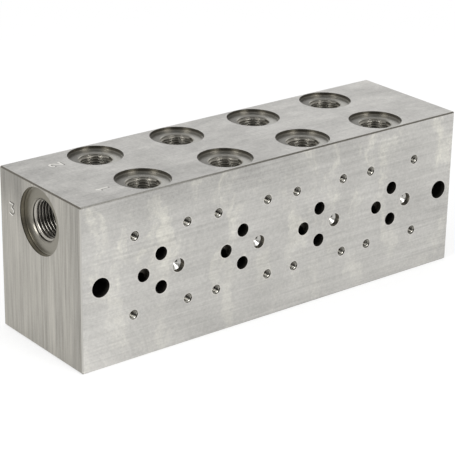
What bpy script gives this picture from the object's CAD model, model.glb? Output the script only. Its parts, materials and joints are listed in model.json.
import json
import math
from types import SimpleNamespace

import bmesh
import bpy
from mathutils import Matrix, Vector


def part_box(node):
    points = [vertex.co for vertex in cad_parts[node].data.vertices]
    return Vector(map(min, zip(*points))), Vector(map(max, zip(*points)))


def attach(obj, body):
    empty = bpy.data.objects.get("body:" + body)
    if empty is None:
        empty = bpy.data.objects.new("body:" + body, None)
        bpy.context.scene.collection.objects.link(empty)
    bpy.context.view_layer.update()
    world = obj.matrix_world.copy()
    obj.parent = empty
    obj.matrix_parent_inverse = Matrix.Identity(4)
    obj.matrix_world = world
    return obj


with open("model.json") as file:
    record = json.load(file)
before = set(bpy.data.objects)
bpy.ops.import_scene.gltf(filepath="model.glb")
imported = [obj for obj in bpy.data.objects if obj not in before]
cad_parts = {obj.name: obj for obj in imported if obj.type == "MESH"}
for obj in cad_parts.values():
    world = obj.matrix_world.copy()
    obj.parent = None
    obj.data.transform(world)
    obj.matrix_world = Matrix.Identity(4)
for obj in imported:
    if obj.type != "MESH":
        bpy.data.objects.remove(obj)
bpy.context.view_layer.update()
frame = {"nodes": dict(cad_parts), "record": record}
manifold = frame["nodes"]["manifold_block"]
mounts = {mount["name"]: mount for mount in frame["record"]["mounts"]}
mm = 0.001


def inMillimetres(place):
    return [round(value / mm, 3) for value in place]


def mountPlace(name):
    return inMillimetres(mounts[name]["pos_m"])


halfLength, halfDepth, height = inMillimetres(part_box("manifold_block")[1])

# Where the features are, in millimetres, with the origin under the middle of the block
layout = {
    "halfLength": halfLength,
    "halfDepth": halfDepth,
    "height": height,
    "edgeBreak": 0.7,
    "onSurface": 0.03,  # nearer to a face than this counts as on it
    "onFloor": 0.05,  # the same for the floor of a spotface
    "rowOffset": mountPlace("port_b1")[1],
    "tankHeight": mountPlace("tank_port")[2],
    "pumpHeight": mountPlace("pump_port")[2],
    # valve pads: P and T lie at the pad's height to each side of it, A above them and B below
    "firstPad": mountPlace("port_a1")[0],
    "padPitch": mountPlace("port_a2")[0] - mountPlace("port_a1")[0],
    "padCount": 4,
    "padHeight": mountPlace("mounting_holes")[2],
    "padPortRadius": 3.5,
    "sidePortReach": 10.4,
    "upperPortHeight": 51.3,
    "lowerPortHeight": 33.8,
    "sideMouthDepth": 3.0,
    "drillPointRise": 0.6009,  # depth of a 118 degree point for each millimetre of its radius
}

# Ports that take a fitting: the work ports on top, and one at each end
workPort = {
    "spotRadius": 14.0,
    "spotDepth": 2.0,
    "threadRadius": mounts["port_b1"]["dims"]["r_mm"],
    "mouthBreak": 0.5,
    "depth": 17.5,
    "inset": 25.0,  # nearer to an end of the block than this there is none
}
endPort = {
    "spotRadius": 17.0,
    "spotDepth": 2.5,
    "threadRadius": mounts["tank_port"]["dims"]["r_mm"],
    "mouthBreak": 0.6,
    "depth": 20.0,
}


class Wire:
    # a socket with the arithmetic used below; each sum adds its Math node
    def __init__(self, recipe, socket):
        self.recipe = recipe
        self.socket = socket

    def maths(self, operation, *others):
        return self.recipe.node("Math", {"operation": operation}, dict(enumerate((self, *others))))

    def __add__(self, other):
        return self.maths("ADD", other)

    __radd__ = __add__

    def __sub__(self, other):
        return self.maths("SUBTRACT", other)

    def __rsub__(self, other):
        return self.recipe.node("Math", {"operation": "SUBTRACT"}, {0: other, 1: self})

    def __mul__(self, other):
        return self.maths("MULTIPLY", other)

    __rmul__ = __mul__

    def __neg__(self):
        return self * -1

    def __abs__(self):
        return self.maths("ABSOLUTE")

    def least(self, other):
        return self.maths("MINIMUM", other)

    def most(self, other):
        return self.maths("MAXIMUM", other)

    # each of these four is 1 where it holds and 0 elsewhere
    def over(self, limit):
        return self.maths("GREATER_THAN", limit)

    def under(self, limit):
        return self.maths("LESS_THAN", limit)

    def within(self, low, high):
        return self.over(low) * self.under(high)

    def near(self, target, reach):
        return self.maths("COMPARE", target, reach)

    def eased(self, low, high):
        # 0 below the first limit, 1 above the second, eased between them
        limits = {"Value": self, "From Min": low, "From Max": high}
        return self.recipe.node("MapRange", {"interpolation_type": "SMOOTHSTEP"}, limits)


class Recipe:
    # a material or world being built; node() adds every node in it
    def __init__(self, owner):
        self.owner = owner
        owner.use_nodes = True
        self.tree = owner.node_tree
        self.tree.nodes.clear()

    def node(self, kind, settings=None, inputs=None, output=0):
        made = self.tree.nodes.new("ShaderNode" + kind)
        for name, value in (settings or {}).items():
            setattr(made, name, value)
        for name, value in (inputs or {}).items():
            if isinstance(value, Wire):
                self.tree.links.new(value.socket, made.inputs[name])
            else:
                made.inputs[name].default_value = value
        return Wire(self, made.outputs[output]) if len(made.outputs) else made

    def either(self, share, first, second):
        return self.node("Mix", {"data_type": "FLOAT"}, {0: share, 2: first, 3: second})

    def blend(self, share, first, second):
        # as either(), for colours
        colours = {6: first, 7: second}
        for place, colour in colours.items():
            if not isinstance(colour, Wire):
                colours[place] = (*colour, 1.0)
        return self.node("Mix", {"data_type": "RGBA"}, {0: share, **colours}, 2)

    def scaled(self, vector, amount):
        # a place in other units, or a colour made lighter or darker by an amount around 1
        return self.node("VectorMath", {"operation": "SCALE"}, {0: vector, "Scale": amount})

    def length(self, vector):
        return self.node("VectorMath", {"operation": "LENGTH"}, {0: vector}, "Value")

    def millimetres(self):
        return self.scaled(self.node("TexCoord", {}, {}, "Object"), 1 / mm)

    def noise(self, place, scale, detail, roughness, output=0):
        pattern = {"Vector": place, "Scale": scale, "Detail": detail, "Roughness": roughness}
        return self.node("TexNoise", {}, pattern, output)

    def rings(self, way, rate):
        # noise that changes with one distance only, as turned rings do
        return self.noise(self.node("CombineXYZ", {}, {"X": way * rate}), 1.0, 2.0, 0.6)

    def finish(self, surface, output="OutputMaterial"):
        self.node(output, {}, {"Surface": surface})
        return self.owner


def across(first, second):
    # the straight way to a point, from its distances along two axes
    return (first * first + second * second).maths("SQRT")


def nearestOf(ways):
    nearest = ways[0]
    for way in ways[1:]:
        nearest = nearest.least(way)
    return nearest


blockLook = {
    # outside
    "valveFace": (0.476, 0.467, 0.445),
    "valveFaceWarm": (0.680, 0.664, 0.596),
    "topFace": (0.585, 0.573, 0.547),
    "endFace": (0.372, 0.357, 0.322),
    "endSmudge": (0.215, 0.208, 0.19),
    "topEndEdge": (0.16, 0.148, 0.125),
    "topLongEdge": (0.56, 0.545, 0.50),
    "topLongEdgeRight": (0.24, 0.225, 0.195),
    "uprightEdge": (0.47, 0.46, 0.43),
    "holeRim": (0.82, 0.80, 0.74),
    "rimFade": (0.15, 0.55),
    "rimStrength": 0.25,
    # work ports and end ports
    "spotFloor": (0.47, 0.46, 0.425),
    "spotFloorOiled": (0.16, 0.153, 0.136),
    "oilFade": (-11.2, 7.0),  # from the left of a port's axis to the right of it
    "oilRagged": 8.4,
    "spotWall": (0.085, 0.078, 0.064),
    "spotFoot": (0.30, 0.285, 0.25),
    "endSpotFloor": (0.235, 0.222, 0.188),
    "endSpotFloorUpper": (0.20, 0.188, 0.155),
    "endSpotWall": (0.40, 0.375, 0.31),
    "endSpotShade": (0.13, 0.12, 0.095),
    "workMouth": (0.46, 0.445, 0.40),
    "endMouth": (0.27, 0.255, 0.22),
    "oiledBore": (0.03, 0.029, 0.026),
    "oiledFrom": (2.7, 9.0),
    # bores of the valve face, and how far in from it each look reaches
    "boreMouth": (0.17, 0.16, 0.14),
    "boreInside": (0.045, 0.041, 0.036),
    "boreShade": (0.3, 4.0),
    "boreReach": 26.0,
    "boreWall": (0.03, 0.028, 0.024),
    "tankWall": (0.34, 0.32, 0.28),
    "tankCone": (0.50, 0.49, 0.465),
    "litBore": (0.62, 0.61, 0.57),
    "litUntil": (3.7, 4.0),
    "tankBoreReach": 16.0,
    "tankBoreRise": (-4.0, 17.5),
    # how much each pattern lightens and darkens a face
    "sideGrain": {"fineAlong": 0.42, "coarseAlong": 0.26, "clouds": 0.42, "speckle": 0.50},
    "topGrain": {"milling": 0.24, "crossMilling": 0.16, "topClouds": 0.80, "speckle": 0.50},
    "endGrain": {"fineUpright": 1.1, "coarseUpright": 0.70, "speckle": 0.25},
    "lighterRightwards": 0.0006,  # of the top, for each millimetre
    # finish, with the reliefs in millimetres
    "metallic": 0.92,
    "faceRoughness": 0.36,
    "cloudRoughness": 0.14,
    "boreRoughness": 0.32,
    "lineRelief": 0.012,
    "stampRelief": 0.30,
    "ringRelief": 0.020,
    "wallRingRelief": 0.03,
    "cornerRelief": 0.2,
}

# Patterns in the steel: how fast each one changes along X, Y and Z, and how it is turned
grainPatterns = {
    "fineAlong": {"rates": (0.012, 1.0, 0.75), "turn": (0, 0, 0), "detail": 2.0, "roughness": 0.7},
    "coarseAlong": {"rates": (0.02, 1.0, 0.16), "turn": (0, 0.02, 0), "detail": 3.0, "roughness": 0.6},
    "fineUpright": {"rates": (1.0, 0.62, 0.022), "turn": (0, 0, 0), "detail": 3.0, "roughness": 0.7},
    "coarseUpright": {"rates": (1.0, 0.15, 0.012), "turn": (0, 0, 0), "detail": 3.0, "roughness": 0.6},
    "milling": {"rates": (0.05, 0.7, 1.0), "turn": (0, 0, 0.35), "detail": 2.0, "roughness": 0.7},
    "crossMilling": {"rates": (0.6, 0.05, 1.0), "turn": (0, 0, -0.7), "detail": 2.0, "roughness": 0.6},
    "clouds": {"rates": (0.030, 0.030, 0.036), "turn": (0, 0, 0), "detail": 3.0, "roughness": 0.55},
    "topClouds": {"rates": (0.045, 0.09, 0.03), "turn": (0, 0, 0), "detail": 5.0, "roughness": 0.65},
    "speckle": {"rates": (0.9, 0.9, 0.9), "turn": (0, 0, 0), "detail": 3.0, "roughness": 0.7},
}

# Coolant that dried on the sides in upright runs, more of it higher up
driedRuns = {
    "pattern": {"rates": (0.075, 0.05, 0.034), "turn": (0, 0, 0), "detail": 6.0, "roughness": 0.66},
    "strays": (26.0, 0.0, 34.0),
    "fade": (0.49, 0.68),
    "lowShare": 0.32,
    "addedShare": 0.34,
    "addedFrom": (25.0, 60.0),
}

# Arcs that a grinding wheel left, round a point outside the lower left corner
grindingArcs = {
    "centre": (-128.0, -35.0, -6.0),
    "rate": 0.5,
    "fade": (35.0, 75.0),
    "strength": 0.30,
}


def patterned(recipe, place, pattern):
    mapped = {"Vector": place, "Rotation": pattern["turn"], "Scale": pattern["rates"]}
    stretched = recipe.node("Mapping", {}, mapped)
    return recipe.noise(stretched, 1.0, pattern["detail"], pattern["roughness"])


def swayed(grain, strengths):
    # a tone around 1, from the patterns that a face shows
    tone = 1.0
    for name, strength in strengths.items():
        tone = (grain[name] - 0.5) * strength + tone
    return tone


def surveyBlock(steel):
    # where a point of the block lies, in millimetres, and which surface it is on
    here = SimpleNamespace(place=steel.millimetres())
    here.x, here.y, here.z = [steel.node("SeparateXYZ", {}, {0: here.place}, axis) for axis in "XYZ"]

    # faces and their broken edges, from how far in the point is from each pair of faces
    here.endGap = layout["halfLength"] - abs(here.x)
    here.flatGap = layout["height"] / 2 - abs(here.z - layout["height"] / 2)
    sideGap = layout["halfDepth"] - abs(here.y)
    here.nearest = here.endGap.least(sideGap).least(here.flatGap)
    furthest = here.endGap.most(sideGap).most(here.flatGap)
    edgeGap = here.endGap + sideGap + here.flatGap - furthest  # edgeBreak all over a broken edge
    here.edgeReach = layout["edgeBreak"] + 0.05
    here.onFace = here.nearest.under(layout["onSurface"])
    here.onEdge = (1 - here.onFace) * edgeGap.under(here.edgeReach)
    here.onTop = here.z.near(layout["height"], layout["onSurface"])
    here.onEnds = here.endGap.near(0.0, layout["onSurface"])
    here.onLeftEnd = here.x.near(-layout["halfLength"], layout["onSurface"])
    here.onFront = here.y.near(-layout["halfDepth"], layout["onSurface"])
    here.fromTop = layout["height"] - here.z
    here.fromFront = here.y + layout["halfDepth"]

    # how far it is to the right of the nearest pad's centre line
    padTurn = here.x - layout["firstPad"] + layout["padPitch"] / 2
    here.padSide = padTurn.maths("FLOORED_MODULO", layout["padPitch"]) - layout["padPitch"] / 2

    # ports, from the way to the axis of the nearest one
    padGap = (here.x - layout["firstPad"]).maths("PINGPONG", layout["padPitch"] / 2)
    here.workReach = across(padGap, abs(here.y) - layout["rowOffset"])
    tankRise = here.z - layout["tankHeight"]
    pumpRise = here.z - layout["pumpHeight"]
    here.endRise = steel.either(here.x.over(0.0), tankRise, pumpRise)
    here.endReach = across(here.y, here.endRise)
    here.inWorkPort = here.fromTop.under(workPort["depth"]) * here.endGap.over(workPort["inset"])
    inEndSpot = here.endReach.under(endPort["spotRadius"] + 0.1)
    here.inEndPort = here.endGap.under(endPort["depth"]) * inEndSpot
    here.outsidePorts = (1 - here.inWorkPort) * (1 - here.inEndPort)
    here.onWorkFloor = here.fromTop.near(workPort["spotDepth"], layout["onFloor"])
    here.onEndFloor = here.endGap.near(endPort["spotDepth"], layout["onFloor"])
    here.onFloor = here.onWorkFloor.most(here.onEndFloor)
    return here


def grainOf(steel, here):
    grain = {name: patterned(steel, here.place, pattern) for name, pattern in grainPatterns.items()}
    reach = steel.either(here.inEndPort, here.workReach, here.endReach)
    grain["rings"] = steel.rings(reach, 2.2)
    grain["wallRings"] = steel.rings(here.nearest, 3.0)
    return grain


def sideColour(steel, here, grain):
    # the runs stray along X and Z with a slow noise
    wander = steel.noise(here.place, 0.05, 4.0, 0.65, "Color")
    strayed = {0: wander, 1: driedRuns["strays"], 2: here.place}
    wandered = steel.node("VectorMath", {"operation": "MULTIPLY_ADD"}, strayed)
    runs = patterned(steel, wandered, driedRuns["pattern"]).eased(*driedRuns["fade"])
    runShare = driedRuns["lowShare"] + here.z.eased(*driedRuns["addedFrom"]) * driedRuns["addedShare"]
    colour = steel.blend(runs * runShare, blockLook["valveFace"], blockLook["valveFaceWarm"])

    fromCentre = {0: here.place, 1: grindingArcs["centre"]}
    arcReach = steel.length(steel.node("VectorMath", {"operation": "SUBTRACT"}, fromCentre))
    arcs = (steel.rings(arcReach, grindingArcs["rate"]) - 0.5) * (1 - arcReach.eased(*grindingArcs["fade"]))

    # darker under the top edge, a little lighter at the left end and at the upper right
    underTop = here.z.eased(62.0, 84.0) * (1 - here.x.eased(-60.0, 90.0))
    lowerLeft = (1 - here.z.eased(5.0, 45.0)) * (1 - here.x.eased(-110.0, -20.0))
    byLeftEnd = 1 - here.x.eased(-112.0, -60.0)
    upperRight = here.x.eased(60.0, 112.0) * here.z.eased(40.0, 75.0)
    tone = swayed(grain, blockLook["sideGrain"]) + arcs * grindingArcs["strength"]
    tone = tone - underTop * 0.20 + lowerLeft * 0.08 + byLeftEnd * 0.12 + upperRight * 0.06
    return steel.scaled(colour, tone)


def topColour(steel, here, grain):
    # milled crosswise, and a little lighter towards the right
    tone = swayed(grain, blockLook["topGrain"]) + here.x * blockLook["lighterRightwards"]
    return steel.scaled(blockLook["topFace"], tone)


def endColour(steel, here, grain):
    # brushed upright, with the left end smudged towards the back and the front
    backCorner = here.z.eased(58.0, 80.0) * here.y.eased(6.0, 22.0)
    smudge = backCorner + (-here.y).eased(20.0, 31.0) * 0.6
    colour = steel.blend(smudge * here.onLeftEnd * 0.62, blockLook["endFace"], blockLook["endSmudge"])
    return steel.scaled(colour, swayed(grain, blockLook["endGrain"]))


# Port numbers: 1 and 2 stand beside the rows on top, and 3 beside the port on the left end.
# Strokes are (from, to) on a grid 4 wide and 6 high, in millimetres
portNumbers = {
    "strokes": {
        "1": [((1.0, 4.6), (2.2, 6.0)), ((2.2, 6.0), (2.2, 0.0))],
        "2": [((0.2, 4.8), (1.1, 5.9)), ((1.1, 5.9), (2.8, 5.9)), ((2.8, 5.9), (3.7, 4.7)),
              ((3.7, 4.7), (3.2, 3.3)), ((3.2, 3.3), (0.1, 0.0)), ((0.1, 0.0), (3.9, 0.0))],
        "3": [((0.2, 5.9), (3.6, 5.9)), ((3.6, 5.9), (1.8, 3.6)), ((1.8, 3.6), (3.4, 3.0)),
              ((3.4, 3.0), (3.5, 1.2)), ((3.5, 1.2), (2.3, 0.0)), ((2.3, 0.0), (0.1, 0.5))],
    },
    "topFoot": 94.5,  # feet of 1 and 2, to the left of the block's middle
    "frontRowStart": -22.0,
    "backRowStart": 18.0,
    "endStart": 26.0,
    "endFoot": 63.0,
    "fade": (0.18, 0.55),  # a stroke fades out between these distances from its line
    "widerOnTop": 0.22,
    "lean": 0.4,  # between the two drawings of a number
    "strength": 0.9,
    "lit": (0.96, 0.94, 0.89),
    "shaded": (0.10, 0.092, 0.078),
}


def strokeGap(side, rise, start, end):
    # how far a point is from one straight stroke
    runSide = end[0] - start[0]
    runRise = end[1] - start[1]
    square = runSide**2 + runRise**2
    share = ((side - start[0]) * runSide + (rise - start[1]) * runRise) * (1 / square)
    share = share.recipe.node("Clamp", {}, {0: share})
    return across(side - start[0] - share * runSide, rise - start[1] - share * runRise)


def numberGap(digit, side, rise):
    return nearestOf([strokeGap(side, rise, start, end) for start, end in portNumbers["strokes"][digit]])


def stampNumbers(steel, here, face):
    # each number is drawn twice: one edge of its groove is lit, the other shaded
    for lean, topTone, endTone in ((portNumbers["lean"], "shaded", "lit"), (0.0, "lit", "shaded")):
        topRise = -here.x - portNumbers["topFoot"] + lean
        frontRow = numberGap("1", here.y - portNumbers["frontRowStart"] + lean, topRise)
        backRow = numberGap("2", here.y - portNumbers["backRowStart"] + lean, topRise)
        endSide = -here.y + portNumbers["endStart"] + lean
        leftEnd = numberGap("3", endSide, here.z - portNumbers["endFoot"] + lean)
        gap = steel.either(here.onTop, leftEnd, frontRow.least(backRow) - portNumbers["widerOnTop"])
        stamped = (1 - gap.eased(*portNumbers["fade"])) * here.onTop.most(here.onLeftEnd)
        tone = steel.blend(here.onTop, portNumbers[endTone], portNumbers[topTone])
        face = steel.blend(stamped * portNumbers["strength"], face, tone)
    return face, stamped


def brightenRims(steel, here, face):
    # the burnished edge round each hole of the valve face: its place from the centre line, height, radius
    besidePad = abs(here.padSide)
    radius = layout["padPortRadius"]
    holes = [
        (besidePad - layout["sidePortReach"], layout["padHeight"], radius),
        (here.padSide, layout["upperPortHeight"], radius),
        (here.padSide, layout["lowerPortHeight"], radius),
    ]
    for pair in ("pad1_upper_screws", "pad1_lower_screws"):
        sizes = mounts[pair]["dims"]
        holes.append((besidePad - sizes["spacing_x_mm"] / 2, mountPlace(pair)[2], sizes["hole_r_mm"]))
    padGap = nearestOf([across(side, here.z - centre) - size for side, centre, size in holes])

    # outside the pads there are only the mounting holes
    sizes = mounts["mounting_holes"]["dims"]
    besideMiddle = abs(here.x - mountPlace("mounting_holes")[0])
    outsidePads = besideMiddle.over(layout["padPitch"] * layout["padCount"] / 2 - 1)
    mountingSide = besideMiddle - sizes["spacing_x_mm"] / 2
    mountingGap = across(mountingSide, here.z - layout["padHeight"]) - sizes["hole_r_mm"]
    rim = 1 - steel.either(outsidePads, padGap, mountingGap).eased(*blockLook["rimFade"])
    return steel.blend(rim * here.onFront * blockLook["rimStrength"], face, blockLook["holeRim"])


def mouthOf(port, depth, reach):
    # the broken edge between a spotface and its thread
    level = depth.within(port["spotDepth"] + 0.04, port["spotDepth"] + port["mouthBreak"] - 0.01)
    return level * reach.within(port["threadRadius"] - 0.1, port["threadRadius"] + port["mouthBreak"] + 0.07)


def portColour(steel, here, grain):
    # spotfaces on top: turned light, with oil on the left side of their floors
    wallFoot = here.fromTop.eased(1.2, 1.9)
    workWall = steel.blend(wallFoot, blockLook["spotWall"], blockLook["spotFoot"])
    oilPlace = here.padSide + (grain["clouds"] - 0.5) * blockLook["oilRagged"]
    oil = 1 - oilPlace.eased(*blockLook["oilFade"])
    workFloor = steel.blend(oil, blockLook["spotFloor"], blockLook["spotFloorOiled"])
    workSpot = steel.blend(here.onWorkFloor, workWall, workFloor)
    workMouth = here.inWorkPort * mouthOf(workPort, here.fromTop, here.workReach)

    # spotfaces at the ends: browner, their walls darker at the rim and at the foot
    wallShade = (1 - here.endGap.eased(0.3, 0.9)).most(here.endGap.eased(1.9, 2.4))
    endWall = steel.blend(wallShade, blockLook["endSpotWall"], blockLook["endSpotShade"])
    upper = here.endRise.eased(-14.0, 6.0)
    endFloor = steel.blend(upper, blockLook["endSpotFloor"], blockLook["endSpotFloorUpper"])
    endSpot = steel.blend(here.onEndFloor, endWall, endFloor)
    endMouth = here.inEndPort * mouthOf(endPort, here.endGap, here.endReach)

    colour = steel.blend(here.inEndPort, workSpot, endSpot)
    colour = steel.blend(workMouth, colour, blockLook["workMouth"])
    colour = steel.blend(endMouth, colour, blockLook["endMouth"])
    floorRings = (grain["rings"] - 0.5) * 0.4
    colour = steel.scaled(colour, 1.0 + steel.either(here.onFloor, grain["wallRings"] - 0.5, floorRings))
    return steel.blend(here.nearest.eased(*blockLook["oiledFrom"]), colour, blockLook["oiledBore"])


def padBoreColour(steel, here, colour):
    # P, A, B and the mounting holes are dark with oil; the drilled mouth of T is still bright
    inFront = here.fromFront.under(blockLook["boreReach"]) * here.outsidePorts
    shade = here.fromFront.eased(*blockLook["boreShade"])
    bore = steel.blend(shade, blockLook["boreMouth"], blockLook["boreInside"])
    colour = steel.blend(inFront, colour, bore)

    radius = layout["padPortRadius"]
    tankRise = here.z - layout["padHeight"]
    tankReach = across(here.padSide - layout["sidePortReach"], tankRise)
    besideTank = here.padSide.near(layout["sidePortReach"], radius + 0.2) * here.outsidePorts
    besideTank = besideTank * tankRise.within(*blockLook["tankBoreRise"])
    mouthLevel = here.fromFront.within(layout["onSurface"], layout["sideMouthDepth"] - 0.03)
    pointDepth = layout["sideMouthDepth"] + (radius - tankReach) * layout["drillPointRise"]
    onWall = besideTank * mouthLevel * tankReach.near(radius, 0.06)
    onCone = besideTank * (here.fromFront - pointDepth).near(0.0, 0.05) * tankReach.under(radius - 0.02)
    boreLevel = here.fromFront.within(layout["onSurface"], blockLook["tankBoreReach"])
    inBore = besideTank * boreLevel * (1 - onWall) * (1 - onCone)
    deeper = here.fromFront.eased(*blockLook["litUntil"])
    litBore = inBore * (1 - deeper)
    colour = steel.blend(inBore, colour, blockLook["boreWall"])
    colour = steel.blend(litBore, colour, blockLook["litBore"])
    colour = steel.blend(onWall, colour, blockLook["tankWall"])
    colour = steel.blend(onCone, colour, blockLook["tankCone"])
    upperDeep = (onCone + inBore) * deeper * tankRise.over(-0.1)
    return steel.blend(upperDeep, colour, blockLook["boreWall"]), onCone, litBore


def edgeColour(steel, here, grain, colour):
    alongFlat = here.onEdge * here.flatGap.under(here.edgeReach)
    overEnd = here.endGap.under(here.edgeReach)
    rightwards = here.x.eased(-115.0, 20.0)
    longEdge = steel.blend(rightwards, blockLook["topLongEdge"], blockLook["topLongEdgeRight"])
    longEdge = steel.scaled(longEdge, 0.6 + grain["speckle"] * 0.8)
    colour = steel.blend(alongFlat * (1 - overEnd), colour, longEdge)
    colour = steel.blend(alongFlat * overEnd, colour, blockLook["topEndEdge"])
    upright = here.onEdge * here.flatGap.over(here.edgeReach)
    return steel.blend(upright, colour, blockLook["uprightEdge"])


def steelRelief(steel, here, grain, stamped):
    # tool lines and stamped grooves outside; turned rings and the corners of the spotfaces inside
    lines = steel.either(here.onEnds, grain["fineAlong"], grain["fineUpright"])
    lines = steel.either(here.onTop, lines, grain["milling"])
    outside = lines * blockLook["lineRelief"] - stamped * blockLook["stampRelief"]
    floorRings = grain["rings"] * blockLook["ringRelief"] * here.onFloor
    wallRings = grain["wallRings"] * blockLook["wallRingRelief"] * (1 - here.onFloor)
    endCorner = here.endReach.eased(endPort["spotRadius"] - 1.0, endPort["spotRadius"])
    workCorner = here.workReach.eased(workPort["spotRadius"] - 0.8, workPort["spotRadius"])
    corner = endCorner * here.onEndFloor + workCorner * here.onWorkFloor
    inside = floorRings + wallRings + corner * blockLook["cornerRelief"]
    return steel.either(here.onFace, inside, outside)


def buildBlockMaterial():
    steel = Recipe(bpy.data.materials.new("machined_steel"))
    here = surveyBlock(steel)
    grain = grainOf(steel, here)

    face = steel.blend(here.onTop, sideColour(steel, here, grain), topColour(steel, here, grain))
    face = steel.blend(here.onEnds, face, endColour(steel, here, grain))
    face, stamped = stampNumbers(steel, here, face)
    face = brightenRims(steel, here, face)
    inside, tankCone, litBore = padBoreColour(steel, here, portColour(steel, here, grain))
    colour = edgeColour(steel, here, grain, steel.blend(here.onFace, inside, face))

    insideRoughness = blockLook["boreRoughness"] - tankCone * 0.06
    faceRoughness = blockLook["faceRoughness"] + grain["clouds"] * blockLook["cloudRoughness"]
    relief = steelRelief(steel, here, grain, stamped)
    surface = steel.node(
        "BsdfPrincipled",
        {},
        {
            "Base Color": colour,
            "Metallic": blockLook["metallic"] - litBore * 0.7,
            "Roughness": steel.either(here.onFace, insideRoughness, faceRoughness),
            "Normal": steel.node("Bump", {}, {"Strength": 1.0, "Distance": mm, "Height": relief}),
        },
    )
    return steel.finish(surface)


blockMaterial = buildBlockMaterial()
for slot in manifold.material_slots:
    slot.material = blockMaterial
print("block: material ready")


# One pitch of a thread's ridge, as (share of its height, share of the pitch)
pipeRidge = [
    (0.0, 0.06), (0.05, 0.12), (0.14, 0.16), (0.86, 0.34), (0.95, 0.40), (1.0, 0.50),
    (0.95, 0.60), (0.86, 0.66), (0.14, 0.84), (0.05, 0.88), (0.0, 0.94),
]
screwRidge = [(0.0, 0.0625), (1.0, 0.375), (1.0, 0.625), (0.0, 0.9375)]
creaseAngle = 22.0  # in degrees; the corners that are sharper than this stay sharp


def buildThreadMaterial(name, thread):
    # cut metal that darkens with oil further in; the depth is taken from the face that the port opens in
    cut = Recipe(bpy.data.materials.new(name))
    place = cut.millimetres()
    depth = thread["face"] - abs(cut.node("SeparateXYZ", {}, {0: place}, thread["axis"]))
    grain = cut.noise(place, 1.6, 3.0, 0.6)
    colour = cut.blend(depth.eased(*thread["oilFrom"]), thread["clean"], thread["oiled"])
    surface = cut.node(
        "BsdfPrincipled",
        {},
        {
            "Base Color": cut.scaled(colour, 0.75 + grain * 0.5),
            "Metallic": 1.0,
            "Roughness": thread["roughness"] + grain * 0.1,
        },
    )
    return cut.finish(surface)


def threadRidge(thread):
    # one closed ridge round an upright axis, with its mouth at the origin, in millimetres
    mesh = bmesh.new()
    root = thread["major"] / 2
    ridgeHeight = root - thread["minor"] / 2
    pitch = thread["pitch"]
    corners = [(root - share * ridgeHeight, 0, -level * pitch) for share, level in thread["ridge"]]
    profile = [mesh.verts.new(corner) for corner in corners]
    edges = [mesh.edges.new(pair) for pair in zip(profile, profile[1:] + profile[:1])]
    turns = thread["length"] / pitch - 1
    steps = round(turns * thread["stepsPerTurn"])
    bmesh.ops.spin(
        mesh,
        geom=profile + edges,
        cent=(0, 0, 0),
        axis=(0, 0, 1),
        dvec=(0, 0, -turns * pitch / steps),
        angle=turns * 2 * math.pi,
        steps=steps,
        use_duplicate=False,
    )
    bmesh.ops.holes_fill(mesh, edges=[edge for edge in mesh.edges if edge.is_boundary], sides=0)

    # it rises out of the wall at both of its ends
    fadeLength = 0.9 * pitch
    for vert in mesh.verts:
        depth = -vert.co.z
        fade = min(1.0, depth / fadeLength, max(0.0, (thread["length"] - depth) / fadeLength))
        radius = math.hypot(vert.co.x, vert.co.y)
        wanted = root - (root - radius) * fade
        vert.co.x *= wanted / radius
        vert.co.y *= wanted / radius
    return mesh


def placeCopies(mesh, mouths):
    # a copy of the ridge at each mouth, its axis pointing out of the block; the first ridge goes
    first = mesh.verts[:]
    ridge = mesh.verts[:] + mesh.edges[:] + mesh.faces[:]
    for origin, axis in mouths:
        copied = bmesh.ops.duplicate(mesh, geom=ridge)["geom"]
        turn = Vector((0, 0, 1)).rotation_difference(axis).to_matrix().to_4x4()
        bmesh.ops.transform(
            mesh,
            matrix=Matrix.Scale(mm, 4) @ Matrix.Translation(origin) @ turn,
            verts=[item for item in copied if isinstance(item, bmesh.types.BMVert)],
        )
    bmesh.ops.delete(mesh, geom=first, context="VERTS")


def finishMesh(mesh, name, material):
    bmesh.ops.remove_doubles(mesh, verts=mesh.verts, dist=1e-6)
    bmesh.ops.recalc_face_normals(mesh, faces=mesh.faces)
    data = bpy.data.meshes.new(name)
    mesh.to_mesh(data)
    mesh.free()
    for polygon in data.polygons:
        polygon.use_smooth = True
    data.set_sharp_from_angle(angle=math.radians(creaseAngle))
    data.materials.append(material)
    piece = bpy.data.objects.new(name, data)
    bpy.context.scene.collection.objects.link(piece)
    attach(piece, "root")


def buildThreads(name, thread, mouths):
    mesh = threadRidge(thread)
    placeCopies(mesh, mouths)
    finishMesh(mesh, name, buildThreadMaterial(name + "_cut", thread))


def portMouth(name):
    # where a port's thread begins, and the way out of the block
    axis = Vector(mounts[name]["axis"])
    return Vector(mountPlace(name)) + axis * mounts[name]["dims"]["length_mm"] / 2, axis


def screwMouths(name):
    # the two holes of one pair
    middle = Vector(mountPlace(name))
    reach = Vector((mounts[name]["dims"]["spacing_x_mm"] / 2, 0, 0))
    axis = Vector(mounts[name]["axis"])
    return [(middle - reach, axis), (middle + reach, axis)]


padNumbers = range(1, layout["padCount"] + 1)

workPortThreads = {
    "major": 16.62,
    "minor": 14.95,
    "pitch": 1.337,
    "length": 13.2,
    "ridge": pipeRidge,
    "stepsPerTurn": 42,
    "axis": "Z",
    "face": layout["height"],
    "clean": (0.36, 0.342, 0.30),
    "oiled": (0.20, 0.19, 0.163),
    "oilFrom": (4.0, 13.0),  # depth where the oil starts, and where it covers everything
    "roughness": 0.30,
}
workPorts = [f"port_{row}{number}" for number in padNumbers for row in "ab"]
buildThreads("work_port_threads", workPortThreads, [portMouth(port) for port in workPorts])

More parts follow.
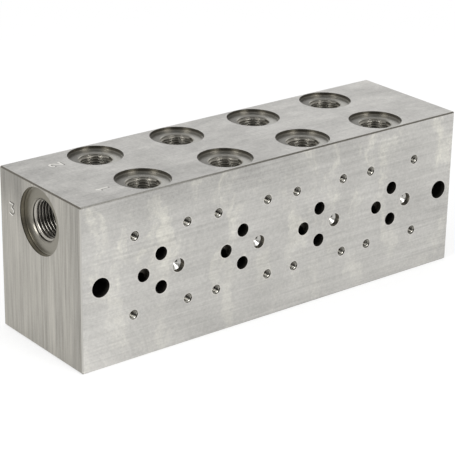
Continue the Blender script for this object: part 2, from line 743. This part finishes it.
endPortThreads = {
    "major": 20.9,
    "minor": 18.631,
    "pitch": 1.814,
    "length": 16.0,
    "ridge": pipeRidge,
    "stepsPerTurn": 48,
    "axis": "X",
    "face": layout["halfLength"],
    "clean": (0.38, 0.362, 0.325),
    "oiled": (0.20, 0.19, 0.165),
    "oilFrom": (6.0, 20.0),
    "roughness": 0.26,
}
buildThreads("end_port_threads", endPortThreads, [portMouth("tank_port"), portMouth("pump_port")])

valveScrewThreads = {
    "major": 4.98,
    "minor": 4.134,
    "pitch": 0.8,
    "length": 11.6,
    "ridge": screwRidge,
    "stepsPerTurn": 28,
    "axis": "Y",
    "face": layout["halfDepth"],
    "clean": (0.30, 0.29, 0.26),
    "oiled": (0.19, 0.18, 0.155),
    "oilFrom": (0.4, 5.0),
    "roughness": 0.17,
}
screwPairs = [f"pad{number}_{level}_screws" for number in padNumbers for level in ("upper", "lower")]
screwHoles = [mouth for pair in screwPairs for mouth in screwMouths(pair)]
buildThreads("valve_screw_threads", valveScrewThreads, screwHoles)
print("threads: three sizes cut")


floorLook = {
    "halfSide": 6.0,
    "paper": (0.95, 0.95, 0.95, 1.0),
    "shadowReach": 0.6,  # metres from the block at which its shadow has gone
    "whiteNearBlock": 0.62,
}


def buildFloor():
    # white to the camera and in reflections, with part of the real shadow kept near the block
    paper = Recipe(bpy.data.materials.new("pale_floor"))
    camera = paper.node("LightPath", {}, {}, "Is Camera Ray")
    mirrored = paper.node("LightPath", {}, {}, "Is Glossy Ray")
    away = paper.length(paper.node("TexCoord", {}, {}, "Object"))
    clear = away.eased(floorLook["shadowReach"] * 0.5, floorLook["shadowReach"])
    share = camera.most(mirrored) * paper.either(clear, floorLook["whiteNearBlock"], 1.0)
    shaded = paper.node("BsdfDiffuse", {}, {"Color": floorLook["paper"]})
    white = paper.node("Emission", {}, {"Color": (1, 1, 1, 1), "Strength": 1.0})
    material = paper.finish(paper.node("MixShader", {}, {0: share, 1: shaded, 2: white}))
    mesh = bmesh.new()
    bmesh.ops.create_grid(mesh, x_segments=1, y_segments=1, size=floorLook["halfSide"])
    data = bpy.data.meshes.new("floor")
    mesh.to_mesh(data)
    mesh.free()
    data.materials.append(material)
    floor = bpy.data.objects.new("floor", data)
    bpy.context.scene.collection.objects.link(floor)


roomLight = {
    "fill": 0.95,  # on matt surfaces, from everywhere
    "horizon": 1.0,  # what metal mirrors low down, the same white as the backdrop
    "overhead": 0.30,
    "overheadFrom": (0.42, 0.75),
    "unlit": 0.15,  # the dark side of the room, which faces the pale backdrop
    "unlitFrom": (0.35, 0.75),
    "unlitAzimuth": -38.0,
}


def aimed(azimuth, elevation):
    # unit vector towards a place round the object; azimuth 0 is in front of the valve face
    a = math.radians(azimuth)
    e = math.radians(elevation)
    return Vector((math.sin(a) * math.cos(e), -math.cos(a) * math.cos(e), math.sin(e)))


def buildWorld():
    room = Recipe(bpy.data.worlds.new("soft_room"))
    bpy.context.scene.world = room.owner
    camera = room.node("LightPath", {}, {}, "Is Camera Ray")
    mirrored = room.node("LightPath", {}, {}, "Is Glossy Ray")
    through = room.node("LightPath", {}, {}, "Is Transmission Ray")
    direction = room.node("TexCoord", {}, {}, "Generated")
    rise = room.node("SeparateXYZ", {}, {0: direction}, "Z")
    darkSide = tuple(aimed(roomLight["unlitAzimuth"], 0.0))
    facing = room.node("VectorMath", {"operation": "DOT_PRODUCT"}, {0: direction, 1: darkSide}, "Value")
    unlit = facing.eased(*roomLight["unlitFrom"])
    around = room.either(unlit, roomLight["horizon"], roomLight["unlit"])
    mirrorLevel = room.either(rise.eased(*roomLight["overheadFrom"]), around, roomLight["overhead"])
    level = room.either(mirrored, roomLight["fill"], mirrorLevel)
    level = room.either(camera.most(through), level, 1.0)
    surface = room.node("Background", {}, {"Color": (1, 1, 1, 1), "Strength": level})
    room.finish(surface, "OutputWorld")


softboxes = {
    "frontSoftbox": {"azimuth": 4.0, "elevation": 28.0, "distance": 1.1, "size": (0.34, 0.60), "power": 4.6},
    "endSoftbox": {"azimuth": -80.0, "elevation": 28.0, "distance": 1.1, "size": (0.34, 0.60), "power": 4.2},
}
softboxTarget = Vector((0, 0, 0.04))


def addSoftbox(name, softbox):
    lamp = bpy.data.lights.new(name, "AREA")
    lamp.shape = "RECTANGLE"
    lamp.size, lamp.size_y = softbox["size"]
    lamp.energy = softbox["power"]
    towards = aimed(softbox["azimuth"], softbox["elevation"])
    box = bpy.data.objects.new(name, lamp)
    box.location = softboxTarget + towards * softbox["distance"]
    box.rotation_mode = "QUATERNION"
    box.rotation_quaternion = (-towards).to_track_quat("-Z", "Y")
    bpy.context.scene.collection.objects.link(box)


cameraView = {
    "azimuth": -38.588,
    "elevation": 22.167,
    "roll": 1.010,
    "distance": 0.920615,
    "target": (-0.005899, 0.0, 0.036762),
    "lens": 140.90,
}


def buildCamera():
    roll = math.radians(cameraView["roll"])
    back = aimed(cameraView["azimuth"], cameraView["elevation"])
    levelRight = Vector((0, 0, 1)).cross(back).normalized()
    levelUp = back.cross(levelRight)
    right = levelRight * math.cos(roll) + levelUp * math.sin(roll)
    up = levelUp * math.cos(roll) - levelRight * math.sin(roll)
    data = bpy.data.cameras.new("camera")
    data.lens = cameraView["lens"]
    data.sensor_width = 36.0
    data.clip_start = 0.01
    data.clip_end = 50.0
    camera = bpy.data.objects.new("camera", data)
    place = Matrix.Translation(Vector(cameraView["target"]) + back * cameraView["distance"])
    camera.matrix_world = place @ Matrix((right, up, back)).transposed().to_4x4()
    bpy.context.scene.collection.objects.link(camera)
    bpy.context.scene.camera = camera


buildFloor()
buildWorld()
for name, softbox in softboxes.items():
    addSoftbox(name, softbox)
buildCamera()
bpy.context.scene.view_settings.view_transform = "Standard"
print("room: floor, light and camera ready")
